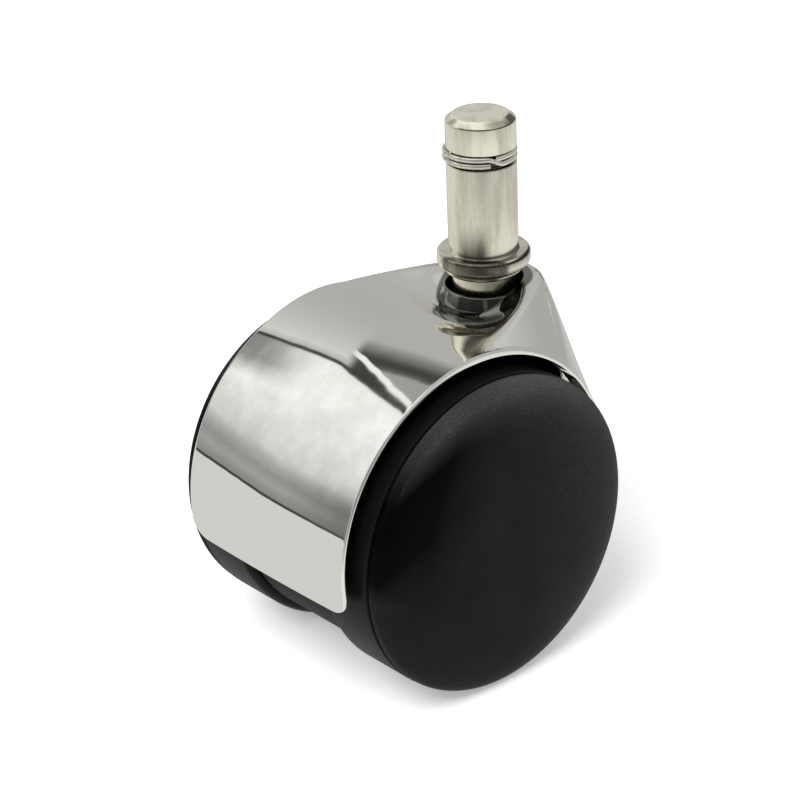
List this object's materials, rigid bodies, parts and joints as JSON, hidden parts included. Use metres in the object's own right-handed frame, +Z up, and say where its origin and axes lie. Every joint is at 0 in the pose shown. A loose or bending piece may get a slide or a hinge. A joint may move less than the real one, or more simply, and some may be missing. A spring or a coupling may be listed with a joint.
{
  "type": "chair caster",
  "caption": "Hooded twin-wheel swivel caster with a plain grip-ring stem, a chrome-plated hood over two black wheels and a domed cover on each wheel.",
  "frame": {"origin": "centre of the stem's top face, on the swivel axis", "axes": "+Z up along the swivel axis, +X from the wheels towards the stem, +Y along the axle towards the left wheel"},
  "size_m": [0.0592, 0.052, 0.0833],
  "materials": {
    "chrome_hood": "mirror chrome plate over die-cast zinc",
    "plated_steel": "satin nickel plate, faint turning marks",
    "spring_steel": "drawn spring wire and strip",
    "bright_steel": "ground steel",
    "bearing_bronze": "sintered bronze",
    "black_housing": "moulded black, lightly textured",
    "black_nylon": "moulded black, plain",
    "black_tread": "smooth satin tread",
    "black_cover": "satin black with a fine moulded grain"
  },
  "bodies": {
    "stem": {"stem": "plated_steel", "grip_ring": "spring_steel", "retaining_ring": "spring_steel"},
    "caster_body": {"hood": "chrome_hood", "core_body": "black_housing", "socket_sleeve": "bearing_bronze", "thrust_disc": "bright_steel", "thrust_ball": "bright_steel", "axle": "bright_steel", "side_washer_left": "bright_steel", "side_washer_right": "bright_steel", "push_nut_left": "spring_steel", "push_nut_right": "spring_steel"},
    "wheel_left": {"tyre_left": "black_tread", "wheel_core_left": "black_nylon", "cover_left": "black_cover", "hub_bush_left": "bearing_bronze"},
    "wheel_right": {"tyre_right": "black_tread", "wheel_core_right": "black_nylon", "cover_right": "black_cover", "hub_bush_right": "bearing_bronze"}
  },
  "joints": [
    {"name": "swivel", "type": "hinge", "parent": "stem", "child": "caster_body", "pos_m": [0, 0, 0], "axis": [0, 0, 1], "continuous": true},
    {"name": "wheel_spin_left", "type": "hinge", "parent": "caster_body", "child": "wheel_left", "pos_m": [-0.0186, 0, -0.0576], "axis": [0, 1, 0], "continuous": true},
    {"name": "wheel_spin_right", "type": "hinge", "parent": "caster_body", "child": "wheel_right", "pos_m": [-0.0186, 0, -0.0576], "axis": [0, 1, 0], "continuous": true}
  ]
}
